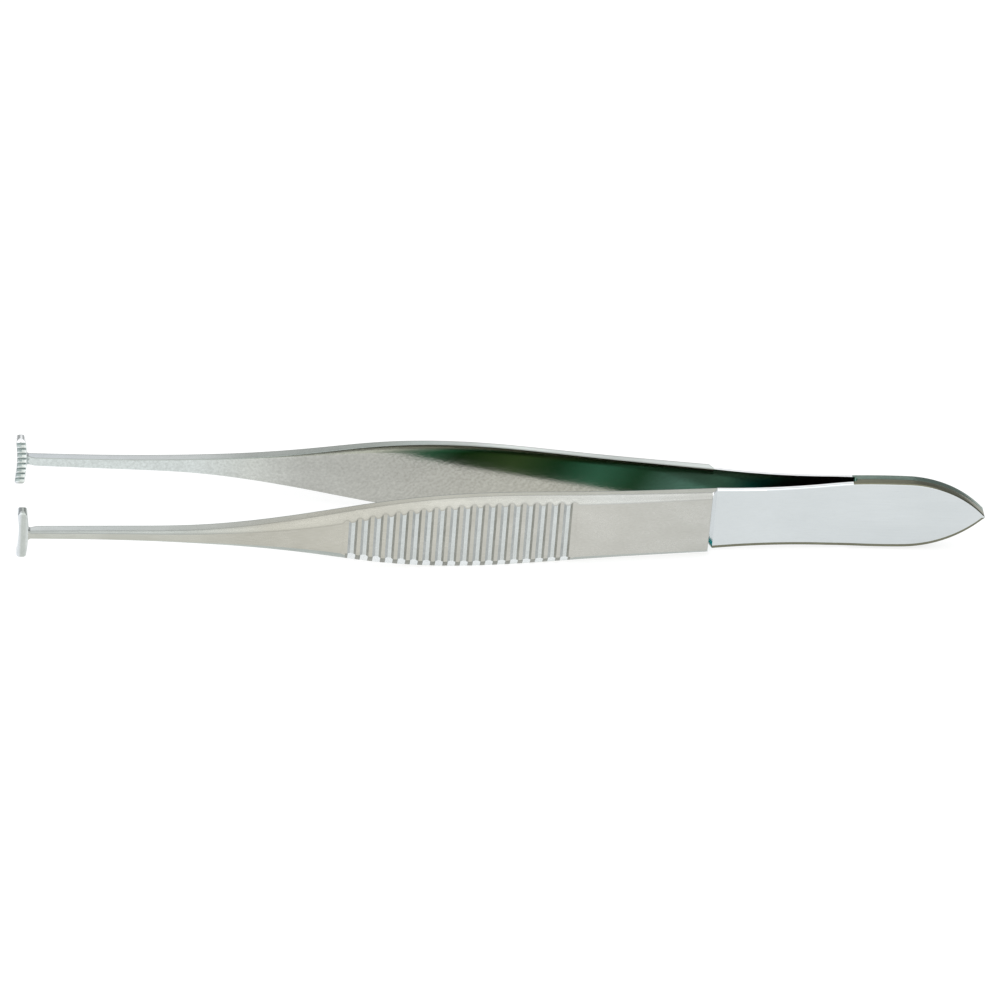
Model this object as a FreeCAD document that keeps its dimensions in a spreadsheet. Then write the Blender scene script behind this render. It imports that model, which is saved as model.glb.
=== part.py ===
"""Toothed fixation forceps: two stainless steel arms joined face to face at the tail.

The forceps lie on the long edges of the arms, as they rest on a table. X runs from the
jaws to the tail, Y from the front arm to the rear arm, and Z is up, across the width of
the arms. The origin is at the bottom, under the middle of the length.
"""
import FreeCAD, Part
import os
import Sketcher
from FreeCAD import Vector

# Driving dimensions, in millimetres. A place is measured along X from the jaw ends.
SIZES = {
    # Spring and tail, behind the shoulder, where the arms are flat and polished
    "spring_length": 15.85,
    "spring_thickness": 0.45,
    "shoulder_run": 0.6,
    "weld_length": 14.8,
    "weld_gap": 0.48,
    "pad_thickness": 0.95,
    "bend_reach": 1.5,
    "tail_edge_break": 0.12,
    "waist_length": 12.65,
    "waist_radius": 100.0,
    "waist_end_half_width": 4.0,
    "leaf_length": 9.0,
    "leaf_half_width": 4.19,
    # Ridged finger grip, milled across the outer face
    "groove_place": 36.08,
    "groove_pitch": 1.4,
    "groove_radius": 0.73,
    "groove_depth": 0.2,
    # Crossbar jaws with interlocking teeth
    "jaw_length": 6.3,
    "jaw_width": 1.05,
    "jaw_front_step": 0.18,
    "jaw_back_step": 0.04,
    "jaw_bow": 0.2,
    "jaw_end_radius": 0.55,
    "jaw_fillet": 0.2,
    "jaw_side_step": 0.05,
    "tooth_pitch": 0.65,
    "tooth_depth": 0.3,
    "tooth_land": 0.08,
    "neck_relief_length": 0.9,
    "neck_relief_depth": 0.35,
}

# Cross-sections of an arm, from the jaw to the shoulder. Place is along X from the jaw
# ends, gap from the middle plane to the inner face, edge the thickness at the long
# edges, crown the rise of the outer face above them, half_width half the width, and
# bevel the width of the slope between an edge and the outer face.
SECTION_FIELDS = ("place", "gap", "edge", "crown", "half_width", "bevel")
SECTIONS = {
    "tip": (0.7, 6.84, 1.05, 0.1, 0.5, 0.12),
    "shaft": (12.0, 6.59, 1.08, 0.15, 0.62, 0.2),
    "taper": (20.0, 6.51, 1.12, 0.22, 0.9, 0.34),
    "flare": (26.0, 6.24, 1.12, 0.4, 1.45, 0.6),
    "slope": (33.0, 5.88, 1.05, 0.6, 2.5, 0.95),
    "grip_front": (40.0, 5.56, 0.92, 0.65, 3.72, 1.05),
    "grip_peak": (51.0, 4.73, 0.8, 0.65, 4.55, 0.95),
    "grip_back": (62.0, 3.65, 0.78, 0.62, 4.26, 0.8),
    "shoulder": (77.35, 1.9, 0.95, 0.45, 3.92, 0.5),
}

GROOVE_COUNT = 19
FRONT_SIDE = -1
REAR_SIDE = 1
FRONT_NOTCHES = 7
REAR_NOTCHES = 8

CLOSE = 0.001  # two lengths this near are the same
SQUARE = 0.05  # how far a unit normal's component may be from 0 or 1


class Size:
    """A length, known both as a number and as the sheet formula that drives it."""

    def __init__(self, value, formula):
        self.value = value
        self.formula = formula

    def _join(self, other, sign, value):
        other_formula = other.formula if isinstance(other, Size) else repr(float(other))
        return Size(value, f"({self.formula} {sign} {other_formula})")

    def __add__(self, other):
        return self._join(other, "+", self.value + number(other))

    def __sub__(self, other):
        return self._join(other, "-", self.value - number(other))

    def __mul__(self, other):
        return self._join(other, "*", self.value * number(other))

    def __truediv__(self, other):
        return self._join(other, "/", self.value / number(other))

    def __neg__(self):
        return self * -1


ON_AXIS = Size(0.0, "0")


def number(length):
    """The plain value of a Size or of a number."""
    return length.value if isinstance(length, Size) else float(length)


def size(name):
    """The named cell of the sheet as a Size."""
    return Size(CELLS[name], f"sizes.{name}")


def overall_length():
    """From the jaw ends to the point of the tail."""
    return size("shoulder_place") + size("spring_length") + size("weld_length")


def along(place):
    """X of a place measured from the jaw ends."""
    return place - overall_length() / 2


def all_cells():
    """Every driving dimension by its cell name."""
    cells = dict(SIZES)
    for station, values in SECTIONS.items():
        for field, value in zip(SECTION_FIELDS, values):
            cells[f"{station}_{field}"] = value
    return cells


CELLS = all_cells()


def fill_sheet(doc):
    """Write the driving dimensions into the sheet, one named cell each."""
    sheet = doc.addObject("Spreadsheet::Sheet", "sizes")
    for row, (name, value) in enumerate(CELLS.items(), start=1):
        sheet.set(f"A{row}", name)
        sheet.set(f"B{row}", str(value))
        sheet.setAlias(f"B{row}", name)
    doc.recompute()
    return sheet


class Outline:
    """A sketch on one of a body's origin planes, with every corner bound to the sheet."""

    def __init__(self, body, name, plane, offset=None):
        self.sketch = body.newObject("Sketcher::SketchObject", name)
        support = next(item for item in body.Origin.OriginFeatures if item.Role == plane)
        self.sketch.AttachmentSupport = (support, [""])
        self.sketch.MapMode = "FlatFace"
        if offset is not None:
            self.sketch.setExpression(".AttachmentOffset.Base.z", offset.formula)

    def bind(self, constraint, length):
        """Add a dimension that follows a Size."""
        index = self.sketch.addConstraint(constraint)
        self.sketch.setExpression(f"Constraints[{index}]", length.formula)

    def hold(self, element, point, across, up=None):
        """Fix one point of an element at the given distances from the sketch origin."""
        for kind, length, axis in (("DistanceX", across, -2), ("DistanceY", up, -1)):
            if length is None:
                continue
            if length is ON_AXIS:
                self.sketch.addConstraint(
                    Sketcher.Constraint("PointOnObject", element, point, axis))
            else:
                self.bind(Sketcher.Constraint(kind, -1, 1, element, point, length.value), length)

    def ring(self, corners, arcs=None, smooth=(), loose=()):
        """Close a loop through the corners.

        arcs maps the number of a side to (sagitta, radius): the sagitta is a first guess,
        positive to the left of the direction of travel, and a radius of None is left to
        the smooth corners, at which two sides run into each other without a kink. The
        height of a loose corner is a first guess too.
        """
        arcs = arcs or {}
        points = [Vector(number(x), number(y), 0) for x, y in corners]
        ends = []
        for side, start in enumerate(points):
            finish = points[(side + 1) % len(points)]
            if side in arcs:
                ends.append(self._arc(start, finish, arcs[side][0]))
            else:
                line = self.sketch.addGeometry(Part.LineSegment(start, finish), False)
                ends.append((line, 1, 2))
        for side, (element, first, _) in enumerate(ends):
            before, _, last = ends[side - 1]
            kind = "Tangent" if side in smooth else "Coincident"
            self.sketch.addConstraint(Sketcher.Constraint(kind, before, last, element, first))
            across, up = corners[side]
            self.hold(element, first, across, None if side in loose else up)
            if side in arcs and arcs[side][1] is not None:
                radius = arcs[side][1]
                self.bind(Sketcher.Constraint("Radius", element, radius.value), radius)
        return self.sketch

    def _arc(self, start, finish, sagitta):
        """Add an arc and tell which of its ends comes first."""
        chord = finish - start
        left = Vector(-chord.y, chord.x, 0).normalize()
        middle = (start + finish) / 2 + left * sagitta
        element = self.sketch.addGeometry(Part.Arc(start, middle, finish), False)
        if self.sketch.getPoint(element, 1).distanceToPoint(start) < CLOSE:
            return element, 1, 2
        return element, 2, 1

    def circle(self, across, up, radius):
        """Add one full circle."""
        centre = Vector(across.value, up.value, 0)
        element = self.sketch.addGeometry(Part.Circle(centre, Vector(0, 0, 1), radius.value), False)
        self.hold(element, 3, across, up)
        self.bind(Sketcher.Constraint("Radius", element, radius.value), radius)


def add_feature(body, kind, name, sketch):
    """Start a sketch-based feature at the end of a body."""
    feature = body.newObject(f"PartDesign::{kind}", name)
    feature.Profile = sketch
    body.Tip = feature
    return feature


def cut_through(body, name, sketch):
    """Cut a profile through the whole body, both ways from its sketch."""
    feature = add_feature(body, "Pocket", name, sketch)
    feature.SideType = "Symmetric"
    feature.Type = "ThroughAll"
    finish_cut(body, feature)


def finish_cut(body, feature):
    """Recompute, and make sure that the cut took material away."""
    before = feature.BaseFeature.Shape.Volume
    body.Document.recompute()
    if not feature.Shape.Volume < before - CLOSE:
        raise RuntimeError(f"{feature.Name} cuts nothing")


def add_blade(body, side):
    """The forged blade: a bevelled section that changes from the jaw to the shoulder."""
    sketches = []
    for station in SECTIONS:
        inner = size(f"{station}_gap") * side
        edge = inner + size(f"{station}_edge") * side
        crown = edge + size(f"{station}_crown") * side
        half_width = size(f"{station}_half_width")
        face = half_width - size(f"{station}_bevel")
        outline = Outline(body, f"{station}_section", "YZ_Plane", along(size(f"{station}_place")))
        sketches.append(outline.ring([
            (inner, half_width), (edge, half_width), (crown, face),
            (crown, -face), (edge, -half_width), (inner, -half_width)]))
    body.Document.recompute()
    blade = add_feature(body, "AdditiveLoft", "blade", sketches[0])
    blade.Sections = sketches[1:]
    body.Document.recompute()


def add_tail(body, side):
    """The thin spring and the pad behind it that is welded to the other arm."""
    start = along(size("shoulder_place"))
    weld = start + size("spring_length")
    end = weld + size("weld_length")
    inner = size("shoulder_gap")
    outer = inner + size("spring_thickness")
    gap = size("weld_gap")
    pad = size("pad_thickness")
    slope = (inner - gap) / (size("spring_length") - gap)
    bend = start + (outer - pad) / slope
    reach = size("bend_reach")
    plan = Outline(body, "tail_plan", "XY_Plane").ring(
        [(start, inner * side), (weld - gap, gap * side), (weld, ON_AXIS), (end, ON_AXIS),
         (end, pad * side), (bend + reach, pad * side),
         (bend - reach, (pad + slope * reach) * side), (start, outer * side)],
        {1: (0.2 * side, gap), 5: (0.05 * side, None)}, smooth=(5, 6), loose=(6,))
    tail = add_feature(body, "Pad", "tail", plan)
    tail.SideType = "Symmetric"
    tail.setExpression("Length", "sizes.grip_peak_half_width * 2")
    body.Document.recompute()
    trim_tail(body, start, end)


def trim_tail(body, start, end):
    """Cut the tail to its leaf shape: a slight waist, then a pointed arch."""
    clear = size("grip_peak_half_width") * 2
    half_width = size("shoulder_half_width")
    waist_end = start + size("waist_length")
    waist_end_half = size("waist_end_half_width")
    leaf = end - size("leaf_length")
    leaf_half = size("leaf_half_width")
    radius = size("waist_radius")
    outline = Outline(body, "leaf_outline", "XZ_Plane").ring(
        [(start, half_width), (waist_end, waist_end_half), (leaf, leaf_half), (end, ON_AXIS),
         (leaf, -leaf_half), (waist_end, -waist_end_half), (start, -half_width),
         (start, -clear), (end + clear, -clear), (end + clear, clear), (start, clear)],
        {0: (-0.18, radius), 1: (0.1, None), 2: (1.0, None),
         3: (1.0, None), 4: (0.1, None), 5: (-0.18, radius)},
        smooth=(1, 2, 4, 5))
    cut_through(body, "leaf_trim", outline)


def cut_wedge(body, name, side, corner, run, level, rise):
    """Cut a wedge across the arm that starts at a corner and reaches past the surface.

    The slope rises by the given height over the given run, and the cut goes on along it
    for as far again, so that the whole corner is cleared.
    """
    reach = 2
    wedge = Outline(body, f"{name}_profile", "XY_Plane").ring(
        [(corner, level * side), (corner + run * reach, (level + rise * reach) * side),
         (corner, (level + rise * reach) * side)])
    cut_through(body, name, wedge)


def cut_shoulder(body, side):
    """The short slope where the crowned blade drops to the thin spring."""
    outer = size("shoulder_gap") + size("spring_thickness")
    rise = size("shoulder_edge") + size("shoulder_crown") - size("spring_thickness")
    cut_wedge(body, "shoulder_slope", side, along(size("shoulder_place")),
              -size("shoulder_run"), outer, rise)


def cut_neck(body, side):
    """The relief on the inner face behind the crossbar, so that the teeth meet first."""
    depth = size("neck_relief_depth")
    cut_wedge(body, "neck_relief", side, along(size("jaw_width") + size("jaw_bow")),
              size("neck_relief_length"), size("tip_gap") + depth, -depth)


def break_tail_edges(body, side):
    """Take the sharpness off the long outer edges of the spring and the leaf."""
    base = body.Tip
    shape = base.Shape
    start = along(size("shoulder_place")).value
    edges = []
    for index, edge in enumerate(shape.Edges, start=1):
        faces = shape.ancestorsOfType(edge, Part.Face)
        normals = [face.normalAt(*face.Surface.parameter(edge.CenterOfMass)) for face in faces]
        outer = [normal for normal in normals if normal.y * side > 1 - SQUARE]
        rim = [normal for normal in normals if abs(normal.y) < SQUARE]
        beyond = min(vertex.X for vertex in edge.Vertexes) > start - CLOSE
        if outer and rim and beyond and edge.Length > size("spring_thickness").value:
            edges.append(f"Edge{index}")
    broken = body.newObject("PartDesign::Chamfer", "tail_edges")
    broken.Base = (base, edges)
    broken.setExpression("Size", "sizes.tail_edge_break")
    body.Tip = broken
    body.Document.recompute()


def face_height(place):
    """Outer face above the middle plane along the grip, on a curve through three sections."""
    known = [(size(f"{station}_place"),
              size(f"{station}_gap") + size(f"{station}_edge") + size(f"{station}_crown"))
             for station in ("grip_front", "grip_peak", "grip_back")]
    (front, front_height), (peak, peak_height), (back, back_height) = known
    slope = (peak_height - front_height) / (peak - front)
    next_slope = (back_height - peak_height) / (back - peak)
    bend = (next_slope - slope) / (back - front)
    return front_height + slope * (place - front) + bend * (place - front) * (place - peak)


def cut_grip(body, side):
    """The ridged grip: round-bottomed grooves across the outer face."""
    grooves = Outline(body, "grip_grooves", "XY_Plane")
    radius = size("groove_radius")
    for index in range(GROOVE_COUNT):
        place = size("groove_place") + size("groove_pitch") * index
        centre = face_height(place) + radius - size("groove_depth")
        grooves.circle(along(place), centre * side, radius)
    cut_through(body, "grip", grooves.sketch)


def jaw_face():
    """The mating face of a crossbar above the middle plane."""
    return size("tip_gap") - size("jaw_front_step")


def add_jaw(body, side):
    """The crossbar at the tip, its ends bowed a little forwards, with its filleted root."""
    end = -overall_length() / 2
    back = along(size("jaw_width"))
    straight = size("jaw_length") / 2 - size("jaw_end_radius")
    cap = size("jaw_end_radius")
    sag = size("jaw_bow")
    bow = (straight * straight / sag + sag) / 2
    fillet = size("jaw_fillet")
    root_half = size("tip_half_width") + size("jaw_side_step")
    foot = root_half + fillet
    foot_back = back + sag - foot * foot / bow / 2
    root_back = foot_back + fillet
    near = jaw_face()
    depth = size("tip_gap") + size("tip_edge") + size("tip_crown") + size("jaw_back_step") - near
    offset = near if side == FRONT_SIDE else -(near + depth)
    outline = Outline(body, "jaw_outline", "XZ_Plane", offset).ring(
        [(end, -straight), (end, straight), (back, straight),
         (foot_back, foot), (root_back, root_half), (root_back, -root_half),
         (foot_back, -foot), (back, -straight)],
        {0: (-sag.value, bow), 1: (0.4, cap), 2: (0.1, bow), 3: (-0.06, fillet),
         5: (-0.06, fillet), 6: (0.1, bow), 7: (0.4, cap)})
    jaw = add_feature(body, "Pad", "jaw", outline)
    jaw.setExpression("Length", depth.formula)
    body.Document.recompute()


def cut_teeth(body, side, count):
    """The row of notches on the mating face; the two jaws differ by half a tooth."""
    pitch = size("tooth_pitch")
    start = along(size("jaw_width") * -1)
    first = pitch * (-(count - 1) / 2)
    half_mouth = (pitch - size("tooth_land")) / 2
    face = jaw_face()
    clear = face - size("tooth_depth")
    root = face + size("tooth_depth")
    notch = Outline(body, "tooth_notch", "YZ_Plane", start).ring(
        [(root * side, first), (clear * side, first + half_mouth * 2),
         (clear * side, first - half_mouth * 2)])
    pocket = add_feature(body, "Pocket", "notch", notch)
    pocket.Reversed = True
    through = size("jaw_width") * 2 + size("jaw_bow") + size("jaw_fillet") + size("tooth_depth") / 2
    pocket.setExpression("Length", through.formula)
    finish_cut(body, pocket)
    row = body.newObject("PartDesign::LinearPattern", "teeth")
    row.Originals = [pocket]
    row.Direction = (notch, ["V_Axis"])
    row.setExpression("Length", f"sizes.tooth_pitch * {count - 1}")
    row.Occurrences = count
    body.Tip = row
    body.Document.recompute()


def make_arm(doc, name, side, notches):
    """One arm, built on its own side of the middle plane."""
    body = doc.addObject("PartDesign::Body", name)
    body.Label = name
    body.setExpression(".Placement.Base.z", "sizes.grip_peak_half_width")
    add_blade(body, side)
    add_tail(body, side)
    cut_shoulder(body, side)
    break_tail_edges(body, side)
    cut_grip(body, side)
    cut_neck(body, side)
    add_jaw(body, side)
    cut_teeth(body, side, notches)
    return body


def check(doc, arms):
    """Stop if any object failed or any arm is not one sound solid."""
    for item in doc.Objects:
        if "Invalid" in item.State or "Error" in item.State:
            raise RuntimeError(f"{item.Name} failed: {item.State}")
    for arm in arms:
        shape = arm.Shape
        if shape.isNull() or not shape.isValid() or len(shape.Solids) != 1:
            raise RuntimeError(f"{arm.Label} is not one sound solid")


def main():
    """Build both arms and write one file for each."""
    doc = FreeCAD.newDocument("forceps")
    fill_sheet(doc)
    arms = [make_arm(doc, "front_arm", FRONT_SIDE, FRONT_NOTCHES),
            make_arm(doc, "rear_arm", REAR_SIDE, REAR_NOTCHES)]
    doc.recompute()
    check(doc, arms)
    os.makedirs("parts", exist_ok=True)
    for arm in arms:
        arm.Shape.exportStep(f"parts/{arm.Label}.step")
        box = arm.Shape.BoundBox
        print(arm.Label, f"{box.XLength:.2f} x {box.YLength:.2f} x {box.ZLength:.2f} mm,",
              f"{arm.Shape.Volume:.1f} mm3, {len(arm.Shape.Faces)} faces")


main()
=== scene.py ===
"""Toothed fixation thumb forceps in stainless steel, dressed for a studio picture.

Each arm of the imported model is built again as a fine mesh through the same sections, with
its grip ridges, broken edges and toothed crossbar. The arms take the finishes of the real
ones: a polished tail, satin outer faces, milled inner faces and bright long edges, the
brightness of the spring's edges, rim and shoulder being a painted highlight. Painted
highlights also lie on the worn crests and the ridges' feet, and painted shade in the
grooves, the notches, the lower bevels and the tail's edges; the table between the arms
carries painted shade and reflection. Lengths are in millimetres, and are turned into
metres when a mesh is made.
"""
import logging
import math
from collections.abc import Callable
from dataclasses import dataclass, field
from enum import IntEnum

import bpy
import numpy as np
from mathutils import Matrix, Vector


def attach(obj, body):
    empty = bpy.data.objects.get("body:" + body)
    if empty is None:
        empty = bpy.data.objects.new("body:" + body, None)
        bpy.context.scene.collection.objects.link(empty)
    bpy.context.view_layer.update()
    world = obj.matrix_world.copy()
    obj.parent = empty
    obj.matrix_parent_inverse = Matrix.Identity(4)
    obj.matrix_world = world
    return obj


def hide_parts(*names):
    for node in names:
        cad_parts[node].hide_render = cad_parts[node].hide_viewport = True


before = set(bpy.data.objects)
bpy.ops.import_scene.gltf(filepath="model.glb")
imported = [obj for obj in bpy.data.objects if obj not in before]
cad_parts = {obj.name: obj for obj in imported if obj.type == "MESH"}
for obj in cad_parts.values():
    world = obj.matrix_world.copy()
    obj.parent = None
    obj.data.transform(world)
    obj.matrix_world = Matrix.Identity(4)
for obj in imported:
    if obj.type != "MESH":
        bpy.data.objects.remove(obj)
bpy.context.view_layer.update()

LOG = logging.getLogger("forceps")
MM = 0.001
JAW_END = -54.0
MIDDLE_HEIGHT = 4.55

Colour = tuple[float, float, float]
Point = tuple[float, float, float]


class Side(IntEnum):
    """The side of the middle plane that an arm lies on."""

    FRONT = -1
    REAR = 1


class Zone(IntEnum):
    """The surface zones of an arm, in the order of its material slots."""

    SATIN = 0
    RIDGE_WEAR_AND_HIGHLIGHT = 1
    GROOVE_WALL_PAINTED_SHADE = 2
    PAINTED_HIGHLIGHT = 3
    POLISH = 4
    INNER = 5
    EDGE = 6
    TAIL_EDGE_PAINTED_SHADE = 7
    JAW = 8
    BEVEL = 9
    LOWER = 10
    GROOVE_SHADE = 11
    FOOT_PAINTED_HIGHLIGHT = 12
    NOTCH_PAINTED_SHADE = 13


@dataclass(frozen=True)
class Section:
    """One cross-section of an arm, a bevelled bar.

    Attributes:
        gap: From the middle plane to the inner face.
        edge: Thickness at the long edges.
        crown: Rise of the outer face above the long edges.
        half_width: Half the width.
        bevel: Width of the slope between a long edge and the outer face.
    """

    gap: float
    edge: float
    crown: float
    half_width: float
    bevel: float

    def corners(self) -> list[tuple[float, float]]:
        """The six corners as distance and height, from the lower inner one."""
        shelf = self.gap + self.edge
        top = shelf + self.crown
        flat = self.half_width - self.bevel
        return [(self.gap, -self.half_width), (self.gap, self.half_width),
                (shelf, self.half_width), (top, flat), (top, -flat),
                (shelf, -self.half_width)]


class Curve:
    """A natural cubic curve through given heights."""

    def __init__(self, places: list[float], heights: list[float]) -> None:
        """Work out the bends of the curve.

        Args:
            places: Where the heights are known, in rising order.
            heights: The height at each place.
        """
        self.places = np.array(places)
        self.heights = np.array(heights)
        step = np.diff(self.places)
        slope = np.diff(self.heights) / step
        count = len(places)
        left = np.eye(count)
        right = np.zeros(count)
        for row in range(1, count - 1):
            left[row, row - 1:row + 2] = (step[row - 1], 2 * (step[row - 1] + step[row]),
                                          step[row])
            right[row] = 6 * (slope[row] - slope[row - 1])
        self.bends = np.linalg.solve(left, right)

    def at(self, place: float) -> float:
        """The height at a place.

        Args:
            place: A place between the first and the last one.

        Returns:
            The height of the curve there.
        """
        last = len(self.places) - 2
        index = min(max(int(np.searchsorted(self.places, place)) - 1, 0), last)
        step = self.places[index + 1] - self.places[index]
        after = (place - self.places[index]) / step
        before = 1 - after
        bend = ((before ** 3 - before) * self.bends[index]
                + (after ** 3 - after) * self.bends[index + 1]) * step * step / 6
        return float(before * self.heights[index] + after * self.heights[index + 1] + bend)


def soft_least(first: float, second: float, reach: float) -> float:
    """The lesser of two lengths, rounded where they meet.

    Args:
        first: One length.
        second: The other length.
        reach: How near they are where the rounding starts.

    Returns:
        The rounded lesser length.
    """
    share = min(max(0.5 + 0.5 * (second - first) / reach, 0.0), 1.0)
    return second * (1 - share) + first * share - reach * share * (1 - share)


def spaced(start: float, finish: float, step: float) -> list[float]:
    """Evenly spaced places from start up to, and without, finish."""
    count = max(1, round((finish - start) / step))
    return [start + (finish - start) * index / count for index in range(count)]


def stepped(runs: list[tuple[float, float]], finish: float) -> list[float]:
    """Places in runs that each have a step of their own.

    Args:
        runs: Where each run starts, in rising order, and its step.
        finish: Where the last run ends, which is left out.

    Returns:
        The places, in rising order.
    """
    ends = [start for start, _ in runs[1:]] + [finish]
    return [place for (start, step), end in zip(runs, ends)
            for place in spaced(start, end, step)]


@dataclass
class MeshParts:
    """Points and faces gathered for one piece."""

    points: list[Point] = field(default_factory=list)
    faces: list[list[int]] = field(default_factory=list)
    zones: list[int] = field(default_factory=list)

    def add_tube(self, rings: list[list[Point]], zone_of: Callable[[int, int], Zone],
                 flip: bool) -> None:
        """Add a closed tube through rings of the same count.

        Args:
            rings: The rings of points, all with the same start and turn.
            zone_of: Gives the zone from the ring's index and the point's index.
            flip: Whether the faces are turned over.
        """
        first = len(self.points)
        count = len(rings[0])
        for ring in rings:
            self.points.extend(ring)
        for row in range(len(rings) - 1):
            for column in range(count):
                near = first + row * count
                beside = (column + 1) % count
                face = [near + column, near + beside, near + count + beside,
                        near + count + column]
                self.add_face(face, zone_of(row, column), flip)
        last = first + (len(rings) - 1) * count
        self.add_face(list(range(first + count - 1, first - 1, -1)), zone_of(0, 0), flip)
        self.add_face(list(range(last, last + count)), zone_of(len(rings) - 2, 0), flip)

    def add_face(self, face: list[int], zone: int, flip: bool) -> None:
        """Add one face in a zone, turned over if asked."""
        self.faces.append(face[::-1] if flip else face)
        self.zones.append(int(zone))


@dataclass
class Rounding:
    """How the six corners of a section are rounded, and how its sides are divided.

    Each corner takes a length off the side before it and one off the side after it.
    """

    cuts: tuple[tuple[float, float], ...] = (
        (0.12, 0.05), (0.05, 0.12), (0.09, 0.09), (0.14, 0.14), (0.14, 0.14), (0.09, 0.09))
    arc_steps: int = 3
    side_steps: tuple[int, ...] = (8, 2, 2, 8, 2, 2)
    most_of_side: float = 0.42

    def owners(self) -> list[tuple[str, int]]:
        """For each point, whether the piece of outline after it is an arc or a side, and which."""
        owners: list[tuple[str, int]] = []
        for corner in range(6):
            owners += [("arc", corner)] * self.arc_steps
            owners += [("side", corner)] * self.side_steps[corner]
        return owners

    def outline(self, corners: list[tuple[float, float]]) -> list[tuple[float, float]]:
        """The rounded outline of a section.

        Args:
            corners: The six corners of the section.

        Returns:
            The points of the outline, corner arc and side in turn.
        """
        marks = [Vector(corner) for corner in corners]
        arcs = []
        for index, mark in enumerate(marks):
            before, after = marks[index - 1] - mark, marks[(index + 1) % 6] - mark
            first, second = self.cuts[index]
            start = mark + before.normalized() * min(first, self.most_of_side * before.length)
            finish = mark + after.normalized() * min(second, self.most_of_side * after.length)
            arc = []
            for step in range(self.arc_steps + 1):
                share = step / self.arc_steps
                arc.append(start.lerp(mark, share).lerp(mark.lerp(finish, share), share))
            arcs.append(arc)
        outline: list[tuple[float, float]] = []
        for index, arc in enumerate(arcs):
            following = arcs[(index + 1) % 6][0]
            outline += [(point.x, point.y) for point in arc[:-1]]
            steps = self.side_steps[index]
            outline += [tuple(arc[-1].lerp(following, step / steps)) for step in range(steps)]
        return outline


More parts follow.
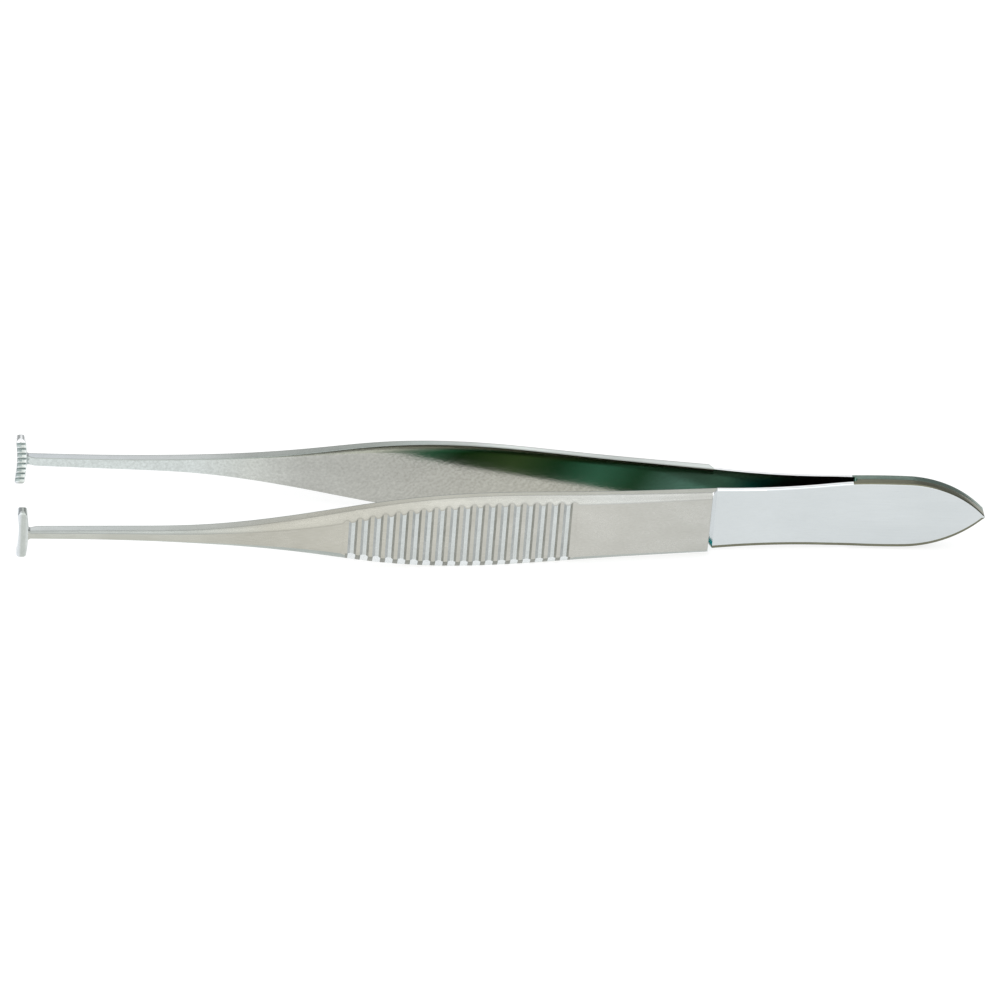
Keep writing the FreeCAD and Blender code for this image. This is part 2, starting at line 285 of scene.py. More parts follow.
@dataclass
class Blade:
    """The blade, spring and welded tail of one arm, from inside the crossbar to the point."""

    table: tuple[tuple[float, ...], ...] = (
        (0.7, 6.84, 1.05, 0.10, 0.50, 0.12),
        (12.0, 6.59, 1.08, 0.15, 0.62, 0.20),
        (20.0, 6.51, 1.12, 0.22, 0.90, 0.34),
        (26.0, 6.24, 1.12, 0.40, 1.45, 0.60),
        (33.0, 5.88, 1.05, 0.60, 2.50, 0.95),
        (40.0, 5.56, 0.92, 0.65, 3.72, 1.05),
        (51.0, 4.73, 0.80, 0.65, 4.55, 0.95),
        (62.0, 3.65, 0.78, 0.62, 4.26, 0.80),
        (77.35, 1.90, 0.95, 0.45, 3.92, 0.50))
    widest: float = 4.55
    shoulder: float = 23.35
    shoulder_gap: float = 1.9
    shoulder_half: float = 3.92
    shoulder_run: float = 0.6
    shoulder_rise: float = 0.95
    spring_thickness: float = 0.45
    weld: float = 39.2
    weld_gap: float = 0.48
    pad_thickness: float = 0.95
    bend_reach: float = 1.5
    tail_break: float = 0.14
    waist_end: float = 36.0
    waist_radius: float = 100.0
    waist_end_half: float = 4.0
    leaf: float = 45.0
    leaf_half: float = 4.19
    tail_end: float = 54.0
    point_radius: float = 0.3
    groove_start: float = 36.08
    groove_pitch: float = 1.4
    groove_count: int = 19
    groove_radius: float = 0.73
    groove_depth: float = 0.2
    crest_half: float = 0.19
    foot_half: float = 0.42
    crest_softness: float = 0.06
    neck: float = -52.769
    neck_relief: float = 0.35
    neck_run: float = 0.9
    root_fillet: float = 0.2
    root_half: float = 0.55
    wall_start: float = 0.23
    rim_end: float = 28.9
    lower_band: float = 0.3
    inner_break: float = 0.01
    outer_break: float = 0.04
    break_share: float = 0.4
    shoulder_softness: float = 0.04
    least_square: float = 0.0004
    bar_start: float = -53.3
    neck_end: float = -51.9
    neck_step: float = 0.05
    plain_step: float = 0.35
    groove_steps: int = 20
    ramp_margin: float = 0.1
    ramp_step: float = 0.08
    crease_step: float = 0.02
    spring_end: float = 36.6
    spring_end_step: float = 0.15
    gap_steps: int = 12
    weld_step: float = 0.1
    tail_runs: tuple[tuple[float, float], ...] = ((40.2, 0.3), (48.0, 0.15), (53.0, 0.05))
    tail_run_end: float = 53.8
    point_run: float = 0.1
    point_steps: int = 10
    rounding: Rounding = field(default_factory=Rounding)

    def __post_init__(self) -> None:
        """Fit the curves through the table of sections."""
        inner, outer = self.inner_break, self.outer_break
        self.tail_rounding = Rounding(cuts=(
            (inner, inner), (inner, inner), (outer, outer), (outer, outer),
            (self.lower_band, outer), (outer, outer)))
        places = [row[0] for row in self.table]
        self.curves = [Curve(places, [row[column] for row in self.table])
                       for column in range(1, 6)]
        known = [(row[0], row[1] + row[2] + row[3]) for row in self.table[5:8]]
        (front, low), (peak, middle), (back, high) = known
        slope = (middle - low) / (peak - front)
        bend = ((high - middle) / (back - peak) - slope) / (back - front)
        self.grip_curve = (front, low, peak, slope, bend)
        self.grooves = []
        for index in range(self.groove_count):
            place = self.groove_start + self.groove_pitch * index
            height = self.face_height(place) + self.groove_radius - self.groove_depth
            self.grooves.append((JAW_END + place, height))
        spring = self.weld - self.weld_gap - self.shoulder
        self.inner_slope = (self.shoulder_gap - self.weld_gap) / spring
        self.shoulder_height = self.shoulder_gap + self.spring_thickness
        self._fit_leaf()

    def _fit_leaf(self) -> None:
        """Find the bulge of the leaf and the arch of its point, smooth from the waist on."""
        run = self.waist_end - self.shoulder
        slope = (self.waist_end_half - self.shoulder_half) / run + run / (2 * self.waist_radius)
        run, rise = self.leaf - self.waist_end, self.leaf_half - self.waist_end_half
        self.bulge_radius = run / 2 / (rise / run - slope)
        turn = math.atan(2 * rise / run - slope)
        reach = self.tail_end - self.leaf
        arch = (reach ** 2 + self.leaf_half ** 2) / 2 / (
            self.leaf_half * math.cos(turn) + reach * math.sin(turn))
        self.arch_radius = arch
        self.arch_x = self.leaf + arch * math.sin(turn)
        self.arch_drop = arch * math.cos(turn) - self.leaf_half
        inner = arch - self.point_radius
        self.point_x = self.arch_x + math.sqrt(inner ** 2 - self.arch_drop ** 2)
        self.point_start = self.point_x + self.point_radius * (self.point_x - self.arch_x) / inner

    def face_height(self, place: float) -> float:
        """Outer face above the middle plane along the grip, at a place from the jaw end."""
        front, low, peak, slope, bend = self.grip_curve
        return low + slope * (place - front) + bend * (place - front) * (place - peak)

    def half_width(self, x: float) -> float:
        """Half the width of the spring and tail at x."""
        if x <= self.waist_end:
            return self._arc(x, self.shoulder, self.shoulder_half, self.waist_end,
                             self.waist_end_half, self.waist_radius)
        if x <= self.leaf:
            return self._arc(x, self.waist_end, self.waist_end_half, self.leaf, self.leaf_half,
                             self.bulge_radius)
        if x > self.point_start:
            square = self.point_radius ** 2 - (x - self.point_x) ** 2
            return math.sqrt(max(square, self.least_square))
        return math.sqrt(self.arch_radius ** 2 - (x - self.arch_x) ** 2) - self.arch_drop

    @staticmethod
    def _arc(x: float, start: float, low: float, finish: float, high: float,
             radius: float) -> float:
        """Height at x of a shallow arc between two points, hollow for a positive radius."""
        share = (x - start) / (finish - start)
        sag = (x - start) * (finish - x) / (2 * radius)
        return low + (high - low) * share - sag

    def outer_tail(self, x: float) -> float:
        """Outer face of the spring and the pad at x."""
        bend = self.shoulder + (self.shoulder_height - self.pad_thickness) / self.inner_slope
        start, finish = bend - self.bend_reach, bend + self.bend_reach
        if x <= start:
            return self.shoulder_height - self.inner_slope * (x - self.shoulder)
        if x >= finish:
            return self.pad_thickness
        share = (x - start) / (finish - start)
        high = self.pad_thickness + self.inner_slope * self.bend_reach
        return high * (1 - share) ** 2 + self.pad_thickness * (1 - (1 - share) ** 2)

    def inner_tail(self, x: float) -> float:
        """Inner face of the spring and the pad at x, with the round end of the gap."""
        start = self.weld - self.weld_gap
        if x <= start:
            return self.shoulder_gap - self.inner_slope * (x - self.shoulder)
        if x >= self.weld:
            return 0.0
        return math.sqrt(self.weld_gap ** 2 - (x - start) ** 2)

    def outer_limit(self, x: float, top: float) -> float:
        """How high the outer face may rise at x, under the grooves and the shoulder slope."""
        for centre, height in self.grooves:
            off = abs(x - centre)
            if off < self.groove_radius:
                floor = height - math.sqrt(self.groove_radius ** 2 - off ** 2)
                top = soft_least(top, floor, self.crest_softness)
        ramp = (self.shoulder - x) * self.shoulder_rise / self.shoulder_run
        return soft_least(top, self.shoulder_height + ramp, self.shoulder_softness)

    def section(self, x: float) -> Section:
        """The section at x.

        Args:
            x: Place along the arm, from the middle of its length.

        Returns:
            The section, ready to be rounded.
        """
        least = self.tail_break
        if x > self.shoulder:
            gap, top = self.inner_tail(x), self.outer_tail(x)
            half = self.half_width(x)
            least = min(least, half * self.break_share)
            return Section(gap, top - gap - least, least, half, least)
        gap, edge, crown, half, bevel = (curve.at(x - JAW_END) for curve in self.curves)
        relief = self.neck_relief * min(max(1 - (x - self.neck) / self.neck_run, 0.0), 1.0)
        gap, edge = gap + relief, edge - relief
        half = min(half, self.widest)
        root = self.neck + self.root_fillet - x
        if root > 0:
            root = min(root, self.root_fillet)
            half = self.root_half + self.root_fillet - math.sqrt(
                self.root_fillet ** 2 - root ** 2)
        top = gap + edge + crown
        limit = self.outer_limit(x, top)
        if limit < top - 1e-9:
            lowered = min(max(limit - gap - edge, least), crown)
            bevel = max(bevel * lowered / crown, least)
            crown = lowered
            edge = min(edge, limit - crown - gap)
        return Section(gap, edge, crown, half, bevel)

    def stations(self) -> list[float]:
        """The places along X where a section is set."""
        grip = JAW_END + self.groove_start - self.groove_pitch / 2
        grip_end = grip + self.groove_pitch * self.groove_count
        ramp = self.shoulder - self.shoulder_run
        gap_end = self.weld - self.weld_gap
        places = stepped([
            (self.bar_start, self.neck_step), (self.neck_end, self.plain_step),
            (grip, self.groove_pitch / self.groove_steps), (grip_end, self.plain_step),
            (ramp - self.ramp_margin, self.crease_step),
            (ramp + self.ramp_margin, self.ramp_step),
            (self.shoulder - self.ramp_step, self.crease_step),
            (self.shoulder + self.crease_step, self.plain_step),
            (self.spring_end, self.spring_end_step)], gap_end)
        places += [gap_end + self.weld_gap * math.sin(math.pi / 2 * step / self.gap_steps)
                   for step in range(self.gap_steps)]
        places += stepped([(self.weld, self.weld_step), *self.tail_runs], self.tail_run_end)
        end = self.point_x + self.point_radius
        places += [end - self.point_run * math.cos(math.pi / 2 * step / self.point_steps)
                   for step in range(self.point_steps + 1)]
        return places

    def zone(self, x: float, owner: tuple[str, int]) -> Zone:
        """The surface zone of a strip of the outline at x; some zones carry painted highlight,
        some painted shade.
        """
        kind, index = owner
        if kind == "side" and index == 0:
            return Zone.INNER
        # Painted shade: the crease at the blade's upper inner corner takes the dark lower-bevel
        # finish.
        if owner == ("arc", 1) and x < self.shoulder:
            return Zone.LOWER
        if (kind == "side" and index in (1, 5)) or (kind == "arc" and index in (0, 1)):
            # Painted shade: the long edges past the weld are near black.
            if x > self.weld - self.weld_gap:
                return Zone.TAIL_EDGE_PAINTED_SHADE
            # Painted highlight: the spring's long edges, up to the weld, take the near-white
            # finish.
            return Zone.PAINTED_HIGHLIGHT if x > self.shoulder else Zone.EDGE
        if x > self.shoulder:
            rim = owner in (("side", 2), ("arc", 2)) and x > self.weld - self.weld_gap
            # Painted shade on the tail's rim past the weld and on its lower rounded band.
            if rim or owner == ("arc", 4):
                return Zone.TAIL_EDGE_PAINTED_SHADE
            # Painted highlight on the spring's upper rim up to rim_end; the rest of the tail is
            # polished.
            return Zone.PAINTED_HIGHLIGHT if owner == ("side", 2) and x < self.rim_end else Zone.POLISH
        # Painted highlight on the slope up to the shoulder.
        if x > self.shoulder - self.shoulder_run:
            return Zone.PAINTED_HIGHLIGHT
        return self._grip_zone(x, owner)

    def _grip_zone(self, x: float, owner: tuple[str, int]) -> Zone:
        """The zone of the blade's outer side: bevels, crests, groove walls, lower side or satin
        steel, with painted highlight and painted shade among them.
        """
        if owner[1] == 2 or owner == ("arc", 3):
            return Zone.BEVEL
        nearest = min((centre for centre, _ in self.grooves), key=lambda centre: abs(x - centre))
        off = x - nearest
        inside = self.grooves[0][0] < x < self.grooves[-1][0]
        # Lower side: inside the grip, painted highlight at the ridges' feet and painted shade
        # under the grooves; outside it, the lower bevel's painted shade.
        if owner in (("side", 4), ("arc", 5)) or (inside and owner == ("arc", 4)):
            if not inside:
                return Zone.LOWER
            foot = abs(off) > self.groove_pitch / 2 - self.foot_half
            return Zone.FOOT_PAINTED_HIGHLIGHT if foot else Zone.GROOVE_SHADE
        if not inside or abs(off) < self.wall_start:
            return Zone.SATIN
        # Crests: wear with a painted highlight, lighter and bluer than the satin.
        if abs(off) > self.groove_pitch / 2 - self.crest_half:
            return Zone.RIDGE_WEAR_AND_HIGHLIGHT
        # Groove walls: light painted shade on the right wall, darker painted shade on the left.
        return Zone.GROOVE_WALL_PAINTED_SHADE if off > 0 else Zone.GROOVE_SHADE

    def build(self, parts: MeshParts, side: Side) -> None:
        """Add the blade to an arm.

        Args:
            parts: What the arm is gathered in.
            side: The arm's side of the middle plane.
        """
        stations = self.stations()
        rings = []
        for x in stations:
            rounding = self.rounding if x < self.shoulder else self.tail_rounding
            outline = rounding.outline(self.section(x).corners())
            rings.append([(x, distance * side, height) for distance, height in outline])
        owners = self.rounding.owners()

        def zone_of(row: int, column: int) -> Zone:
            """The zone of one face of the blade."""
            middle = (stations[row] + stations[row + 1]) / 2
            return self.zone(middle, owners[column])

        parts.add_tube(rings, zone_of, flip=side == Side.REAR)


@dataclass
class Crossbar:
    """The toothed bar across the tip of one arm.

    Attributes:
        notches: How many notches its inner face has.
        slant: Strips of the toothed face, and how far up the painted shade of a notch is moved
            there.
    """

    notches: int
    front: float = -53.8
    back: float = -52.75
    bow: float = 0.2
    straight: float = 2.6
    cap_centre: float = 2.436
    cap_radius: float = 0.55
    near: float = 6.66
    far: float = 8.03
    tooth_pitch: float = 0.65
    tooth_depth: float = 0.3
    tooth_half: float = 0.285
    near_round: float = 0.05
    far_round: float = 0.16
    dome: float = 0.42
    steps: int = 16
    least_step: float = 0.001
    least_square: float = 0.0004
    most_of_side: float = 0.45
    arc_steps: int = 3
    outer_step: float = 0.06
    cap_steps: int = 10
    notch_shade: float = 0.12
    slant: dict[int, float] = field(default_factory=lambda: {
        16: 0.12, 17: 0.1, 18: 0.07, 19: -0.07})

    def notch(self, height: float) -> float:
        """How deep the toothed face is cut at a height from mid-width."""
        first = -self.tooth_pitch * (self.notches - 1) / 2
        index = round((height - first) / self.tooth_pitch)
        index = min(max(index, 0), self.notches - 1)
        off = abs(height - first - index * self.tooth_pitch)
        return self.tooth_depth * max(0.0, 1 - off / self.tooth_half)

    def ring(self, height: float) -> list[tuple[float, float]]:
        """The outline of the bar at a height, as x and distance from the middle plane."""
        lean = self.bow * (min(abs(height), self.straight) / self.straight) ** 2
        front, back = self.front - lean, self.back - lean
        inset = 0.0
        if abs(height) > self.straight:
            middle = (front + back) / 2
            off = abs(height) - self.cap_centre
            reach = math.sqrt(max(self.cap_radius ** 2 - off ** 2, self.least_square))
            front, back = middle - reach, middle + reach
            share = (abs(height) - self.straight) / (
                self.cap_centre + self.cap_radius - self.straight)
            inset = self.dome * (1 - math.sqrt(max(1 - share ** 2, 0.0)))
        near, far = self.near + self.notch(height) + inset, self.far - inset
        corners = [Vector((back, near)), Vector((back, far)), Vector((front, far)),
                   Vector((front, near))]
        radii = (self.near_round, self.far_round, self.far_round, self.near_round)
        outline = []
        for index, corner in enumerate(corners):
            before, after = corners[index - 1], corners[(index + 1) % 4]
            most = self.most_of_side * min((before - corner).length, (after - corner).length)
            cut = min(radii[index], most)
            start = corner + (before - corner).normalized() * cut
            finish = corner + (after - corner).normalized() * cut
            for step in range(self.arc_steps + 1):
                share = step / self.arc_steps
                point = start.lerp(corner, share).lerp(corner.lerp(finish, share), share)
                outline.append((point.x, point.y))
            following = corners[(index + 1) % 4]
            outline.append(tuple(finish.lerp(following, 0.5)))
        return outline

    def build(self, parts: MeshParts, side: Side) -> None:
        """Add the bar to an arm.

        Args:
            parts: What the arm is gathered in.
            side: The arm's side of the middle plane.
        """
        half_row = self.tooth_pitch * self.notches / 2
        step = self.tooth_pitch / self.steps
        middle = spaced(-half_row, half_row, step) + [half_row]
        outer = [half_row + rise
                 for rise in spaced(0, self.straight - half_row, self.outer_step)[1:]]
        top = self.cap_centre + self.cap_radius
        turn = math.pi / 2 / self.cap_steps
        cap = [top - (top - self.straight) * (1 - math.sin(turn * index))
               for index in range(self.cap_steps + 1)]
        upper = [height for height in outer + cap if height > half_row + self.least_step]
        heights = [-height for height in reversed(upper)] + middle + upper
        rings =[[(x, distance * side, height) for x, distance in self.ring(height)]
                 for height in heights]

        def zone_of(row: int, column: int) -> Zone:
            """The zone of one face: painted notch shade or plain, the painted shade moved up on
            the slanted strips.
            """
            height = (heights[row] + heights[row + 1]) / 2
            # Painted highlight: the cap of the rear bar takes the near-white finish.
            if side == Side.REAR and height > self.straight:
                return Zone.PAINTED_HIGHLIGHT
            shift = self.slant.get(column)
            if shift is None:
                return Zone.JAW
            # Painted shade: the toothed face is darkened where a notch cuts deep.
            return Zone.NOTCH_PAINTED_SHADE if self.notch(height + shift) > self.notch_shade else Zone.JAW

        parts.add_tube(rings, zone_of, flip=side == Side.FRONT)


Given = "bpy.types.NodeSocket | float | tuple[float, ...]"


def give(tree: bpy.types.NodeTree, node: bpy.types.Node, given: dict[str | int, Given]) -> None:
    """Link or set inputs of a node.

    Args:
        tree: The nodes that it is in.
        node: The node.
        given: A socket or a value for each input.
    """
    for name, value in given.items():
        if isinstance(value, bpy.types.NodeSocket):
            tree.links.new(value, node.inputs[name])
        else:
            node.inputs[name].default_value = value


def add_math(tree: bpy.types.NodeTree, operation: str, *values: Given) -> bpy.types.NodeSocket:
    """Add one Math node.

    Args:
        tree: The nodes to add it to.
        operation: What the node does.
        values: Its inputs, each a socket or a number.

    Returns:
        The result's socket.
    """
    node = tree.nodes.new("ShaderNodeMath")
    node.operation = operation
    give(tree, node, dict(enumerate(values)))
    return node.outputs["Value"]


def add_mix(tree: bpy.types.NodeTree, kind: str, factor: Given, first: Given, second: Given,
            blend: str = "MIX") -> bpy.types.NodeSocket:
    """Add one Mix node.

    Args:
        tree: The nodes to add it to.
        kind: What it mixes, numbers or colours.
        factor: The share of the second input.
        first: The first input.
        second: The second input.
        blend: How colours are mixed.

    Returns:
        The result's socket.
    """
    node = tree.nodes.new("ShaderNodeMix")
    node.data_type = kind
    node.blend_type = blend
    give(tree, node, {"Factor": factor, "A": first, "B": second})
    return node.outputs["Result"]


def add_range(tree: bpy.types.NodeTree, value: Given, low: Given, high: Given,
              span: tuple[float, float] = (0.0, 1.0),
              interpolation: str = "LINEAR") -> bpy.types.NodeSocket:
    """Add one Map Range node.

    Args:
        tree: The nodes to add it to.
        value: What is mapped.
        low: What gives the first end of the span.
        high: What gives the last end of the span.
        span: The two ends of the result.
        interpolation: How the result runs between them.

    Returns:
        The result's socket.
    """
    node = tree.nodes.new("ShaderNodeMapRange")
    node.interpolation_type = interpolation
    give(tree, node, {"Value": value, "From Min": low, "From Max": high,
                      "To Min": span[0], "To Max": span[1]})
    return node.outputs["Result"]


def object_axes(tree: bpy.types.NodeTree) -> bpy.types.NodeOutputs:
    """The sockets X, Y and Z of the object's own coordinates, in metres."""
    coordinates = tree.nodes.new("ShaderNodeTexCoord")
    split = tree.nodes.new("ShaderNodeSeparateXYZ")
    tree.links.new(coordinates.outputs["Object"], split.inputs["Vector"])
    return split.outputs


def add_ramp(tree: bpy.types.NodeTree,
             stops: list[tuple[float, Colour]]) -> bpy.types.NodeSocket:
    """Add a colour that changes along X.

    Args:
        tree: The nodes to add it to.
        stops: Places along X, in metres and in rising order, and the colour at each.

    Returns:
        The colour's socket.
    """
    low, high = stops[0][0], stops[-1][0]
    ramp = tree.nodes.new("ShaderNodeValToRGB")
    elements = ramp.color_ramp.elements
    for _ in range(len(stops) - 2):
        elements.new(0.5)
    for element, (place, colour) in zip(elements, stops):
        element.position = (place - low) / (high - low)
        element.color = (*colour, 1.0)
    give(tree, ramp, {"Fac": add_range(tree, object_axes(tree)["X"], low, high)})
    return ramp.outputs["Color"]


class NodeGroups:
    """The effects that several finishes share, each built once."""

    GRAIN_DETAIL = 5.0
    CLOUD_DETAIL = 2.0
    TONE_SPAN = (0.3, 0.7)
    LINE_DETAIL = 3.0
    LINE_LEVEL = 0.56
    MARK_DETAIL = 2.0
    PATCH_SPAN = (0.35, 0.6)

    def __init__(self) -> None:
        """Build every shared effect."""
        self.grain = self._grain()
        self.hairlines = self._hairlines()
        self.mill_marks = self._mill_marks()

    @staticmethod
    def _start(name: str, inputs: dict[str, str],
               outputs: tuple[str, ...]) -> tuple[bpy.types.NodeTree, bpy.types.Node,
                                                  bpy.types.Node]:
        """Start a group with its sockets.

        Args:
            name: The group's name.
            inputs: Socket types by input name.
            outputs: Names of the outputs, which are all plain numbers.

        Returns:
            The group, its input node and its output node.
        """
        tree = bpy.data.node_groups.new(name, "ShaderNodeTree")
        for socket, kind in inputs.items():
            tree.interface.new_socket(socket, in_out="INPUT", socket_type=kind)
        for socket in outputs:
            tree.interface.new_socket(socket, in_out="OUTPUT", socket_type="NodeSocketFloat")
        return tree, tree.nodes.new("NodeGroupInput"), tree.nodes.new("NodeGroupOutput")

    @staticmethod
    def _place(tree: bpy.types.NodeTree, density: bpy.types.NodeSocket) -> bpy.types.NodeSocket:
        """Object coordinates in grain cells.

        Args:
            tree: The group.
            density: Cells for each metre along each axis.

        Returns:
            The scaled coordinates.
        """
        coordinates = tree.nodes.new("ShaderNodeTexCoord")
        scale = tree.nodes.new("ShaderNodeVectorMath")
        scale.operation = "MULTIPLY"
        tree.links.new(coordinates.outputs["Object"], scale.inputs[0])
        tree.links.new(density, scale.inputs[1])
        return scale.outputs["Vector"]

    def _noise(self, tree: bpy.types.NodeTree, density: bpy.types.NodeSocket,
               detail: float) -> bpy.types.NodeSocket:
        """Noise over the object's own coordinates.

        Args:
            tree: The group.
            density: Cells for each metre along each axis.
            detail: How many finer layers the noise has.

        Returns:
            The noise's socket.
        """
        noise = tree.nodes.new("ShaderNodeTexNoise")
        give(tree, noise, {"Vector": self._place(tree, density), "Scale": 1.0,
                           "Detail": detail})
        return noise.outputs["Fac"]

    def _grain(self) -> bpy.types.NodeTree:
        """Drawn-out grinding grain, with slow clouds of tone over it."""
        tree, given, result = self._start(
            "ground_grain", {"Density": "NodeSocketVector", "Cloud Density": "NodeSocketVector",
                             "Cloud Share": "NodeSocketFloat"}, ("Grain", "Tone"))
        grain = self._noise(tree, given.outputs["Density"], self.GRAIN_DETAIL)
        cloud = self._noise(tree, given.outputs["Cloud Density"], self.CLOUD_DETAIL)
        mixed = add_mix(tree, "FLOAT", given.outputs["Cloud Share"], grain, cloud)
        give(tree, result, {"Grain": grain, "Tone": add_range(tree, mixed, *self.TONE_SPAN)})
        return tree

    def _hairlines(self) -> bpy.types.NodeTree:
        """Sparse fine scratches: thin bands of a very drawn-out noise."""
        tree, given, result = self._start(
            "hairlines", {"Density": "NodeSocketVector", "Width": "NodeSocketFloat"}, ("Line",))
        noise = self._noise(tree, given.outputs["Density"], self.LINE_DETAIL)
        off = add_math(tree, "ABSOLUTE", add_math(tree, "SUBTRACT", noise, self.LINE_LEVEL))
        give(tree, result, {"Line": add_range(tree, off, 0.0, given.outputs["Width"],
                                              (1.0, 0.0))})
        return tree

    def _mill_marks(self) -> bpy.types.NodeTree:
        """Slanting waves that a cutter left, in patches between two places along the arm."""
        tree, given, result = self._start(
            "mill_marks", {"Density": "NodeSocketVector", "Patch Density": "NodeSocketVector",
                           "Waver": "NodeSocketFloat", "Start": "NodeSocketFloat",
                           "Finish": "NodeSocketFloat"}, ("Mark", "Patch"))
        noise = self._noise(tree, given.outputs["Patch Density"], self.MARK_DETAIL)
        split = tree.nodes.new("ShaderNodeSeparateXYZ")
        give(tree, split, {"Vector": self._place(tree, given.outputs["Density"])})
        phase = add_math(tree, "SUBTRACT", split.outputs["Z"], split.outputs["X"])
        waver = add_math(tree, "MULTIPLY", noise, given.outputs["Waver"])
        wave = add_math(tree, "SINE", add_math(tree, "ADD", phase, waver))
        window = add_range(tree, object_axes(tree)["X"], given.outputs["Start"],
                           given.outputs["Finish"], interpolation="SMOOTHSTEP")
        patch = add_range(tree, noise, *self.PATCH_SPAN)
        give(tree, result, {"Mark": add_math(tree, "MULTIPLY_ADD", wave, 0.5, 0.5),
                            "Patch": add_math(tree, "MULTIPLY", patch, window)})
        return tree


@dataclass(frozen=True)
class MillMarks:
    """The marks that a milling cutter left on a finish.

    Attributes:
        share: How much they change the tone.
        density: Radians of their wave for each metre along each axis.
        patch_density: Patches for each metre along each axis.
        waver: How far the waves stray.
        start: Where they start along the arm, in millimetres.
        finish: Where they are in full, in millimetres.
    """

    share: float = 0.3
    density: Point = (7000.0, 0.0, 9000.0)
    patch_density: Point = (520.0, 0.0, 640.0)
    waver: float = 24.0
    start: float = -24.0
    finish: float = -12.0


@dataclass(frozen=True)
class Steel:
    """A finish of the steel.

    Attributes:
        name: Name of the material.
        dull: Colour where the grain is darkest.
        bright: Colour where the grain is lightest.
        roughness: Least and most roughness.
        grain: Length, thickness and width of a grain cell, in millimetres.
        cloud: The same for the slow change of tone.
        cloud_share: How much of the tone is the slow change.
        relief: Height of the grain, in millimetres.
        scratch: Length, thickness and width of the scratch pattern.
        scratch_width: Share of the pattern that a scratch takes.
        scratch_tone: How much a scratch changes the colour.
        scratch_dark: The colour of a scratch, as a share of the dull colour.
        tints: Places along the arm, in millimetres, and what the colour is multiplied by there.
        mill: The marks of a milling cutter, where there are any.
    """

    name: str
    dull: Colour
    bright: Colour
    roughness: tuple[float, float]
    grain: Point
    cloud: Point
    cloud_share: float
    relief: float
    scratch: Point = (9.0, 0.3, 0.3)
    scratch_width: float = 0.006
    scratch_tone: float = 0.15
    scratch_dark: float = 0.55
    tints: tuple[tuple[float, Colour], ...] = ()
    mill: MillMarks | None = None

    def material(self, groups: NodeGroups) -> bpy.types.Material:
        """The finish as a material.

        Args:
            groups: The shared effects.

        Returns:
            A new material.
        """
        material = bpy.data.materials.new(self.name)
        material.use_nodes = True
        tree = material.node_tree
        shader = tree.nodes["Principled BSDF"]
        shader.inputs["Metallic"].default_value = 1.0
        grain = self._group(tree, groups.grain, {
            "Density": self._density(self.grain), "Cloud Density": self._density(self.cloud),
            "Cloud Share": self.cloud_share})
        lines = self._group(tree, groups.hairlines, {
            "Density": self._density(self.scratch), "Width": self.scratch_width})
        tone = grain.outputs["Tone"]
        marked = self._milled(tree, groups, tone) if self.mill else tone
        colour = add_mix(tree, "RGBA", marked, (*self.dull, 1.0), (*self.bright, 1.0))
        if self.tints:
            ramp = add_ramp(tree, [(place * MM, tint) for place, tint in self.tints])
            colour = add_mix(tree, "RGBA", 1.0, colour, ramp, "MULTIPLY")
        scratch = add_math(tree, "MULTIPLY", lines.outputs["Line"], self.scratch_tone)
        dark = (*(part * self.scratch_dark for part in self.dull), 1.0)
        least, most = self.roughness
        bump = tree.nodes.new("ShaderNodeBump")
        give(tree, bump, {"Strength": 1.0, "Distance": self.relief * MM,
                          "Height": add_math(tree, "SUBTRACT", grain.outputs["Grain"],
                                             scratch)})
        give(tree, shader, {"Base Color": add_mix(tree, "RGBA", scratch, colour, dark),
                            "Roughness": add_range(tree, tone, 0.0, 1.0, (most, least)),
                            "Normal": bump.outputs["Normal"]})
        return material

    def _milled(self, tree: bpy.types.NodeTree, groups: NodeGroups,
                tone: bpy.types.NodeSocket) -> bpy.types.NodeSocket:
        """The tone with the marks of a cutter in it.

        Args:
            tree: The material's nodes.
            groups: The shared effects.
            tone: The tone without the marks.

        Returns:
            The marked tone's socket.
        """
        marks = self._group(tree, groups.mill_marks, {
            "Density": self.mill.density, "Patch Density": self.mill.patch_density,
            "Waver": self.mill.waver, "Start": self.mill.start * MM,
            "Finish": self.mill.finish * MM})
        share = add_math(tree, "MULTIPLY", marks.outputs["Patch"], self.mill.share)
        return add_mix(tree, "FLOAT", share, tone, marks.outputs["Mark"])

    @staticmethod
    def _group(tree: bpy.types.NodeTree, shared: bpy.types.NodeTree,
               given: dict[str, Given]) -> bpy.types.Node:
        """Place a shared effect in a material.

        Args:
            tree: The material's nodes.
            shared: The effect.
            given: The values of its inputs.

        Returns:
            The effect's node.
        """
        node = tree.nodes.new("ShaderNodeGroup")
        node.node_tree = shared
        give(tree, node, given)
        return node

    @staticmethod
    def _density(cell: Point) -> Point:
        """Cells for each metre from the size of a cell in millimetres."""
        return tuple(1 / (length * MM) for length in cell)


